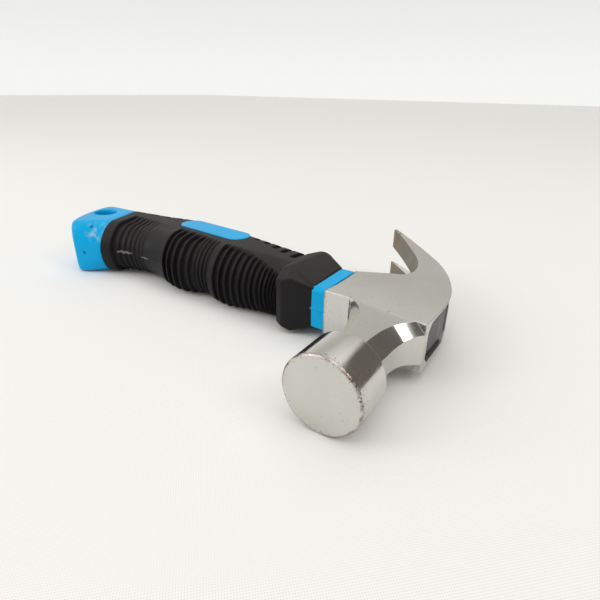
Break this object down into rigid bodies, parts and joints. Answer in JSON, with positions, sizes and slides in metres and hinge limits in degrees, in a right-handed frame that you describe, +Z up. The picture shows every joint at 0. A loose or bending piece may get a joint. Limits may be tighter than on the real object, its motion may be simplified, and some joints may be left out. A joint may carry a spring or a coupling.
{
  "type": "claw hammer",
  "caption": "Stubby claw hammer: polished forged head with round face, eight-sided neck and split curved claws, on a ribbed rubber-over-plastic grip with a hanging hole.",
  "frame": {"origin": "on the surface the hammer lies on, under the middle of its bounding box", "axes": "+X along the handle towards the top of the head, -Y the way the striking face looks, +Y towards the claws, +Z up out of the cheek of the head"},
  "size_m": [0.1916, 0.1174, 0.025],
  "materials": {
    "polished_steel": "polished forged steel, clear lacquered, light wear and rust specks at the edges",
    "glass_fibre_core": "pultruded glass fibre",
    "black_resin": "glossy cast epoxy",
    "blue_plastic": "satin moulded polypropylene",
    "black_rubber": "matte overmoulded thermoplastic rubber"
  },
  "bodies": {
    "root": {"head": "polished_steel", "core_rod": "glass_fibre_core", "eye_resin": "black_resin", "handle_jacket": "blue_plastic", "rubber_grip": "black_rubber"}
  },
  "joints": []
}
